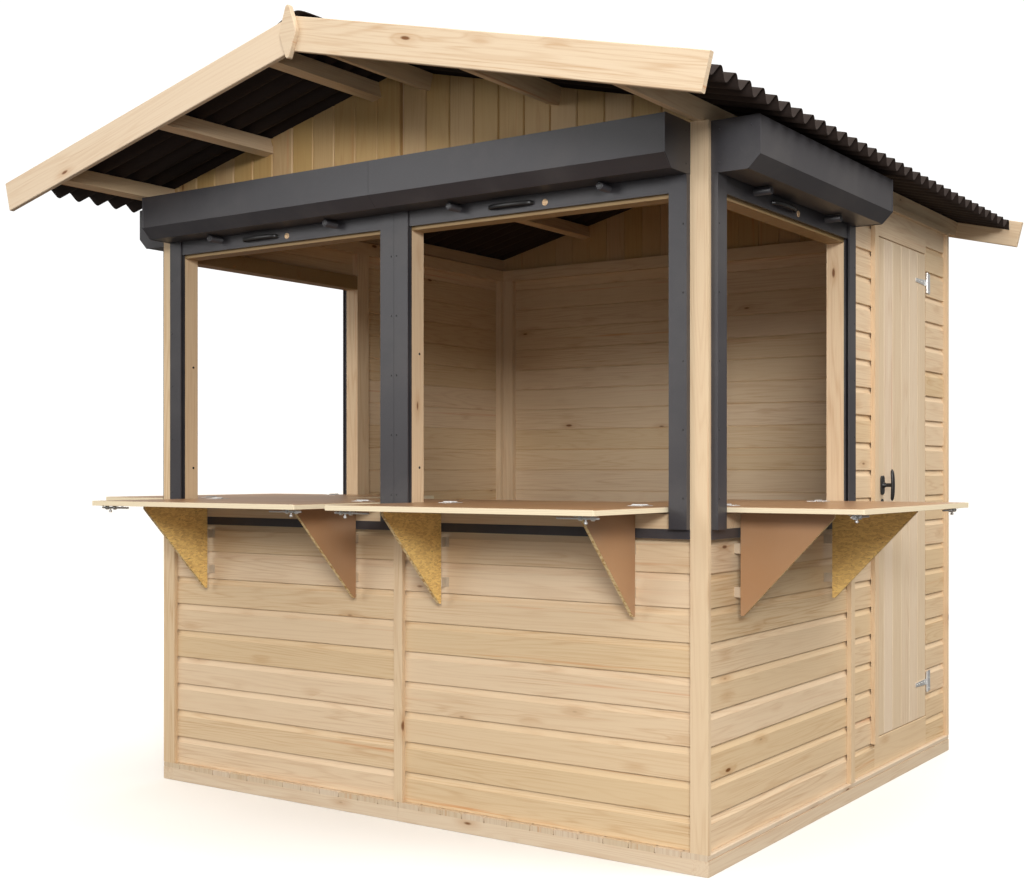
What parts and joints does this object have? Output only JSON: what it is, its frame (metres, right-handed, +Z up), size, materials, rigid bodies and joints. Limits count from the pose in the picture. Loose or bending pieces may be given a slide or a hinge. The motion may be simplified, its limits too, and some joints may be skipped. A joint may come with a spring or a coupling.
{
  "type": "market stall",
  "caption": "Gabled wooden market stall with serving hatches under roller shutters, fold-up counters on swinging brackets, a side door and a corrugated roof.",
  "frame": {"origin": "centre of the base footprint, on the ground", "axes": "+X to the right seen from the front, +Y to the back, +Z up; the gable front faces -Y"},
  "size_m": [3.5, 3.262, 2.8569],
  "materials": {
    "bearer_wood": "sawn, weathered a little",
    "siding_wood": "planed pale spruce",
    "gable_wood": "planed pale spruce",
    "frame_wood": "planed pale spruce",
    "trim_wood": "planed pale spruce",
    "dark_metal": "satin anthracite paint",
    "film_board": "smooth brown film on plywood",
    "bracket_board": "strand board, brown film on one face",
    "zinc": "zinc plated",
    "black_metal": "black paint",
    "roof_sheet": "dark brown corrugated bitumen sheet"
  },
  "bodies": {
    "stall": {"base_cross_bearers": "bearer_wood", "base_side_bearers": "bearer_wood", "floor_boards": "bearer_wood", "front_wall_siding": "siding_wood", "side_wall_lower_siding": "siding_wood", "side_wall_upper_siding": "siding_wood", "left_wall_rear_siding": "siding_wood", "right_wall_siding_beside_door": "siding_wood", "right_wall_siding_over_and_under_door": "siding_wood", "back_wall_siding": "siding_wood", "front_gable_boards": "gable_wood", "back_gable_boards": "gable_wood", "front_posts": "frame_wood", "back_posts": "frame_wood", "side_posts": "frame_wood", "gable_posts": "frame_wood", "front_and_back_plates": "frame_wood", "side_plates": "frame_wood", "hatch_headers": "frame_wood", "hatch_sill_beams": "frame_wood", "corner_strips": "trim_wood", "joint_strips": "trim_wood", "eave_strips": "trim_wood", "sill_flashings": "dark_metal", "front_shutter_boxes": "dark_metal", "side_shutter_boxes": "dark_metal", "front_guide_rails": "dark_metal", "side_guide_rails": "dark_metal", "shutter_end_bars": "dark_metal", "front_inner_counters": "film_board", "side_inner_counters": "film_board", "counter_hinges": "zinc", "bracket_hinges": "zinc", "door_hinge_plates": "zinc", "purlins": "frame_wood", "left_roof_sheet": "roof_sheet", "right_roof_sheet": "roof_sheet", "ridge_cap": "roof_sheet", "front_bargeboards": "trim_wood", "back_bargeboards": "trim_wood", "gable_finials": "trim_wood"},
    "door": {"door_leaf": "gable_wood", "door_straps": "zinc", "door_handle": "black_metal"},
    "leaf_front_left": {"counter_leaf_front_left": "film_board"},
    "leaf_front_right": {"counter_leaf_front_right": "film_board"},
    "leaf_left": {"counter_leaf_left": "film_board"},
    "leaf_right": {"counter_leaf_right": "film_board"},
    "bracket_front_right_a": {"bracket_front_right_a": "bracket_board"},
    "bracket_front_right_b": {"bracket_front_right_b": "bracket_board"},
    "bracket_right_a": {"bracket_right_a": "bracket_board"},
    "bracket_right_b": {"bracket_right_b": "bracket_board"},
    "bracket_front_left_a": {"bracket_front_left_a": "bracket_board"},
    "bracket_front_left_b": {"bracket_front_left_b": "bracket_board"},
    "bracket_left_a": {"bracket_left_a": "bracket_board"},
    "bracket_left_b": {"bracket_left_b": "bracket_board"}
  },
  "joints": [
    {"name": "door_hinge", "type": "hinge", "parent": "stall", "child": "door", "pos_m": [1.258, 0.958, 1.23], "axis": [0, 0, 1], "range_deg": [0, 110]},
    {"name": "leaf_front_left_hinge", "type": "hinge", "parent": "stall", "child": "leaf_front_left", "pos_m": [-0.6025, -1.19, 1.1815], "axis": [-1, 0, 0], "range_deg": [0, 90]},
    {"name": "leaf_front_right_hinge", "type": "hinge", "parent": "stall", "child": "leaf_front_right", "pos_m": [0.6025, -1.19, 1.1815], "axis": [-1, 0, 0], "range_deg": [0, 90]},
    {"name": "leaf_left_hinge", "type": "hinge", "parent": "stall", "child": "leaf_left", "pos_m": [-1.225, -0.6145, 1.1815], "axis": [0, 1, 0], "range_deg": [0, 90]},
    {"name": "leaf_right_hinge", "type": "hinge", "parent": "stall", "child": "leaf_right", "pos_m": [1.225, -0.6145, 1.1815], "axis": [0, -1, 0], "range_deg": [0, 90]},
    {"name": "bracket_front_right_a_hinge", "type": "hinge", "parent": "stall", "child": "bracket_front_right_a", "pos_m": [0.2085, -1.242, 0.985], "axis": [0, 0, 1], "range_deg": [0, 90]},
    {"name": "bracket_front_right_b_hinge", "type": "hinge", "parent": "stall", "child": "bracket_front_right_b", "pos_m": [0.9965, -1.242, 0.985], "axis": [0, 0, -1], "range_deg": [0, 90]},
    {"name": "bracket_right_a_hinge", "type": "hinge", "parent": "stall", "child": "bracket_right_a", "pos_m": [1.277, -1.0085, 0.985], "axis": [0, 0, 1], "range_deg": [0, 90]},
    {"name": "bracket_right_b_hinge", "type": "hinge", "parent": "stall", "child": "bracket_right_b", "pos_m": [1.277, -0.2205, 0.985], "axis": [0, 0, -1], "range_deg": [0, 90]},
    {"name": "bracket_front_left_a_hinge", "type": "hinge", "parent": "stall", "child": "bracket_front_left_a", "pos_m": [-0.2085, -1.242, 0.985], "axis": [0, 0, -1], "range_deg": [0, 90]},
    {"name": "bracket_front_left_b_hinge", "type": "hinge", "parent": "stall", "child": "bracket_front_left_b", "pos_m": [-0.9965, -1.242, 0.985], "axis": [0, 0, 1], "range_deg": [0, 90]},
    {"name": "bracket_left_a_hinge", "type": "hinge", "parent": "stall", "child": "bracket_left_a", "pos_m": [-1.277, -1.0085, 0.985], "axis": [0, 0, -1], "range_deg": [0, 90]},
    {"name": "bracket_left_b_hinge", "type": "hinge", "parent": "stall", "child": "bracket_left_b", "pos_m": [-1.277, -0.2205, 0.985], "axis": [0, 0, 1], "range_deg": [0, 90]}
  ]
}
